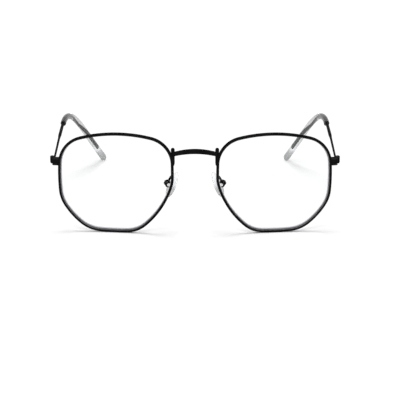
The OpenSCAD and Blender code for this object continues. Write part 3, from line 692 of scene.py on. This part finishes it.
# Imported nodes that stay, with the width of their rounded edges
BLOCKS = {"bridge_post_": 0, "endpiece_": 0.12, "closing_block_": 0.12, "hinge_front_": 0.08,
          "hinge_temple_": 0.06, "pad_box_": 0.06}
SCREWS = {"lock_screws": BRIGHT_STEEL, "pad_screws": BRIGHT_STEEL, "hinge_screws": DARK_STEEL}
# Width of the rounded edges of the screws and of the pads' cores
SCREW_ROUND, CORE_ROUND = 0.03, 0.05

make_bridge()
for side_name in SIDES:
    make_rim(side_name)
    make_lens(side_name)
    make_wire(side_name)
    make_tip(side_name)
    make_pad(side_name)
    make_arm(side_name)
    for block, edge_width in BLOCKS.items():
        soften(block + side_name, edge_width, BLACK)
    soften("pad_core_" + side_name, CORE_ROUND, CORE)
for screws, finish in SCREWS.items():
    soften(screws, SCREW_ROUND, finish)


# Floor, background, lamps and camera
# The floor's colour, its radius and its depth below the part in metres, and the count of its sides
FLOOR_COLOUR, FLOOR_R, FLOOR_SINK, FLOOR_SIDES = 0.95, 6.0, 0.00002, 96
# Distances from the middle between which the floor's own white rises, in metres, and its final strength
LIFT_FROM, LIFT_TO, FLOOR_LIFT = 0.1, 0.8, 0.5
# Strength of the light from all round, and of the white that is seen
SKY_LIGHT, SKY_SEEN = 0.5, 1.0
WHITE = (1, 1, 1, 1)
# Name, place in metres, disc size in metres and watts of each lamp
LAMPS = [("over", (0, 0.0, 1.0), 0.55, 5.0), ("front", (-0.12, -0.75, 0.72), 0.5, 3.1)]
# Distance in metres, height and turn in degrees, lens and sensor in millimetres, and the height of the
# point aimed at
CAMERA_AWAY, CAMERA_RISE, CAMERA_TURN, CAMERA_LENS, CAMERA_SENSOR = 0.95, 16.0, 0.1403, 183.8, 36
CAMERA_AIM_Z = 16.58
# Distances in metres between which the camera sees
NEAREST, FURTHEST = 0.02, 40


def seen_directly(nt):
    """1 for rays from the camera, in mirrors and through clear pieces."""
    path = nt.nodes.new("ShaderNodeLightPath")
    value = path.outputs["Is Camera Ray"]
    for name in ("Is Glossy Ray", "Is Transmission Ray"):
        most = nt.nodes.new("ShaderNodeMath")
        most.operation = "MAXIMUM"
        nt.links.new(value, most.inputs[0])
        nt.links.new(path.outputs[name], most.inputs[1])
        value = most.outputs[0]
    return value


def make_floor():
    """Round pale floor that keeps the shadows and looks white round them."""
    mesh = bpy.data.meshes.new("floor")
    rim = [(FLOOR_R * math.cos(a), FLOOR_R * math.sin(a), -FLOOR_SINK) for a in circle(FLOOR_SIDES)]
    mesh.from_pydata(rim, [], [tuple(range(FLOOR_SIDES))])
    ob = bpy.data.objects.new("floor", mesh)
    scene.collection.objects.link(ob)
    m = bpy.data.materials.new("floor")
    m.use_nodes = True
    nt = m.node_tree
    nt.nodes.clear()
    out = nt.nodes.new("ShaderNodeOutputMaterial")
    paper = nt.nodes.new("ShaderNodeBsdfDiffuse")
    paper.inputs["Color"].default_value = (*grey(FLOOR_COLOUR), 1)
    glow = nt.nodes.new("ShaderNodeEmission")
    at = nt.nodes.new("ShaderNodeTexCoord")
    away = nt.nodes.new("ShaderNodeVectorMath")
    away.operation = "LENGTH"
    nt.links.new(at.outputs["Object"], away.inputs[0])
    rise = nt.nodes.new("ShaderNodeMapRange")
    rise.interpolation_type = "SMOOTHSTEP"
    for k, v in zip(("From Min", "From Max", "To Min", "To Max"), (LIFT_FROM, LIFT_TO, 0.0, FLOOR_LIFT)):
        rise.inputs[k].default_value = v
    nt.links.new(away.outputs["Value"], rise.inputs["Value"])
    lift = nt.nodes.new("ShaderNodeMath")
    lift.operation = "MULTIPLY"
    nt.links.new(seen_directly(nt), lift.inputs[0])
    nt.links.new(rise.outputs["Result"], lift.inputs[1])
    nt.links.new(lift.outputs[0], glow.inputs["Strength"])
    add = nt.nodes.new("ShaderNodeAddShader")
    nt.links.new(paper.outputs[0], add.inputs[0])
    nt.links.new(glow.outputs[0], add.inputs[1])
    nt.links.new(add.outputs[0], out.inputs["Surface"])
    mesh.materials.append(m)


def make_sky():
    """Even soft light from all round, seen as plain white."""
    scene.world = bpy.data.worlds.new("studio")
    scene.world.use_nodes = True
    nt = scene.world.node_tree
    nt.nodes.clear()
    out = nt.nodes.new("ShaderNodeOutputWorld")
    light = nt.nodes.new("ShaderNodeBackground")
    light.inputs["Color"].default_value = WHITE
    light.inputs["Strength"].default_value = SKY_LIGHT
    show = nt.nodes.new("ShaderNodeBackground")
    show.inputs["Color"].default_value = WHITE
    show.inputs["Strength"].default_value = SKY_SEEN
    mix = nt.nodes.new("ShaderNodeMixShader")
    nt.links.new(seen_directly(nt), mix.inputs[0])
    nt.links.new(light.outputs[0], mix.inputs[1])
    nt.links.new(show.outputs[0], mix.inputs[2])
    nt.links.new(mix.outputs[0], out.inputs["Surface"])


def aimed(ob, at, target):
    """Places a lamp or the camera and turns it to its target."""
    ob.location = at
    ob.rotation_mode = "QUATERNION"
    ob.rotation_quaternion = (Vector(target) - Vector(at)).to_track_quat("-Z", "Y")
    scene.collection.objects.link(ob)


def make_lamp(name, at, size, watts):
    """Round lamp aimed at the middle of the part."""
    data = bpy.data.lights.new(name, "AREA")
    data.shape = "DISK"
    data.size = size
    data.energy = watts
    aimed(bpy.data.objects.new(name, data), at, (0, 0, 0))


def make_camera():
    """Camera at the photograph's place, turned a little past the middle plane."""
    aim = Vector((0, BACK_SHIFT, CAMERA_AIM_Z)) * MM
    up = math.radians(CAMERA_RISE)
    data = bpy.data.cameras.new("camera")
    data.sensor_width = CAMERA_SENSOR
    data.lens = CAMERA_LENS
    data.clip_start, data.clip_end = NEAREST, FURTHEST
    ob = bpy.data.objects.new("camera", data)
    aimed(ob, aim + CAMERA_AWAY * Vector((0, -math.cos(up), math.sin(up))), aim)
    ob.rotation_quaternion = ob.rotation_quaternion @ turn("Y", -CAMERA_TURN).to_quaternion()
    scene.camera = ob


make_floor()
make_sky()
for lamp in LAMPS:
    make_lamp(*lamp)
make_camera()
scene.view_settings.view_transform = "Standard"
